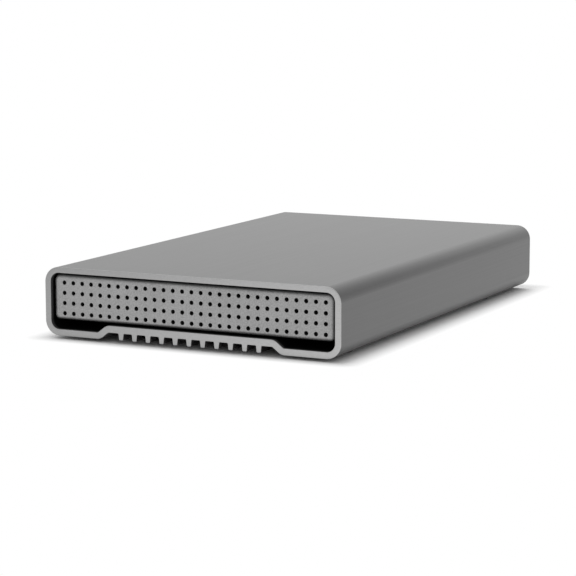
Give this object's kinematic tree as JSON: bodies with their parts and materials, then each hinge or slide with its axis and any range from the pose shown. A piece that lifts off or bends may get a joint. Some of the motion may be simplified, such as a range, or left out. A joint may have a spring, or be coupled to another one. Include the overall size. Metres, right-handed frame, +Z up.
{
  "type": "portable solid state drive",
  "caption": "Flat portable drive: finned extruded sleeve with skids, recessed perforated front panel, USB-C inlet at the rear, and a slide-in tray with a 2.5-inch drive inside.",
  "frame": {"origin": "middle of the footprint, on the surface it stands on", "axes": "+X to the right seen from the front, +Y from the front panel to the rear panel, +Z up"},
  "size_m": [0.0792, 0.125, 0.0176],
  "materials": {
    "sleeve_aluminium": "fine bead-blasted, clear anodised",
    "panel_silver": "speckled silver paint on a black moulding",
    "foot_rubber": "matt black",
    "tray_sheet": "mill finish sheet",
    "drive_case": "dark satin",
    "screw_steel": "zinc plated",
    "inlet_steel": "bright drawn",
    "circuit_board": "satin solder mask",
    "chip_black": "matt moulding compound",
    "connector_black": "satin moulded",
    "pad_grey": "soft matt",
    "ferrite": "matt",
    "capacitor_tan": "matt",
    "lamp_white": "gloss",
    "clear_pipe": "clear moulded"
  },
  "bodies": {
    "root": {"housing": "sleeve_aluminium", "rubber_feet": "foot_rubber", "front_grille": "panel_silver", "rear_panel": "panel_silver", "drive_tray": "tray_sheet", "ssd_base": "drive_case", "ssd_cover": "drive_case", "rear_panel_screws": "screw_steel", "drive_screws": "screw_steel", "case_screws": "screw_steel", "ssd_board_screws": "screw_steel", "board_screws": "screw_steel", "clinch_nuts": "screw_steel", "board_standoffs": "screw_steel", "usb_c_shell": "inlet_steel", "crystal": "inlet_steel", "ssd_board": "circuit_board", "bridge_board": "circuit_board", "ssd_controller": "chip_black", "ssd_memory": "chip_black", "flash_packages": "chip_black", "bridge_chip": "chip_black", "firmware_chip": "chip_black", "ssd_plug": "connector_black", "bridge_socket": "connector_black", "usb_c_tongue": "connector_black", "heat_pad": "pad_grey", "controller_pad": "pad_grey", "power_inductor": "ferrite", "board_capacitors": "capacitor_tan", "activity_led": "lamp_white", "light_pipe": "clear_pipe"}
  },
  "joints": []
}
